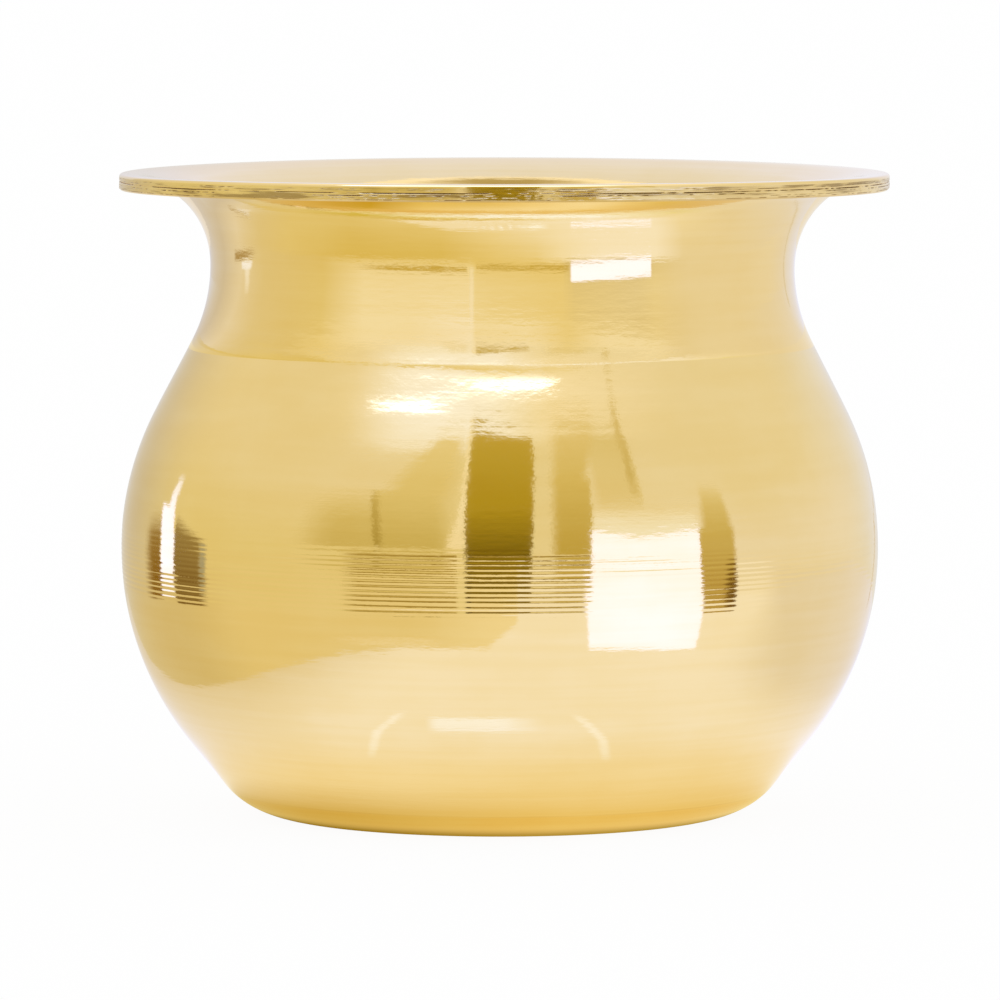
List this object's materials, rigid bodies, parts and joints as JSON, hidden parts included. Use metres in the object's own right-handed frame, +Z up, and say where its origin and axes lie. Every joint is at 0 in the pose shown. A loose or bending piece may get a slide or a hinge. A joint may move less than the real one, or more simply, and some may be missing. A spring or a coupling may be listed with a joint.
{
  "type": "lota",
  "caption": "Wide-mouthed, round-bellied water pot of sheet brass, with a flat foot, a drawn-in neck and a flat turned-out rim to hold it by.",
  "frame": {"origin": "centre of the underside, on the surface that the pot stands on", "axes": "+Z up along the pot's axis, through the mouth; the pot is round, so X and Y are free"},
  "size_m": [0.13, 0.13, 0.1087],
  "materials": {
    "shell_brass": "polished on the lathe, with fine turning lines",
    "base_brass": "polished, worn where it stands",
    "rim_brass": "filed edge with slits and pits",
    "spelter": "dressed braze, a little duller than the sheet"
  },
  "bodies": {
    "root": {"base_dish": "base_brass", "lower_bowl": "shell_brass", "upper_shell": "shell_brass", "rim_ring": "rim_brass", "base_braze": "spelter", "girth_braze": "spelter", "rim_braze": "spelter"}
  },
  "joints": []
}
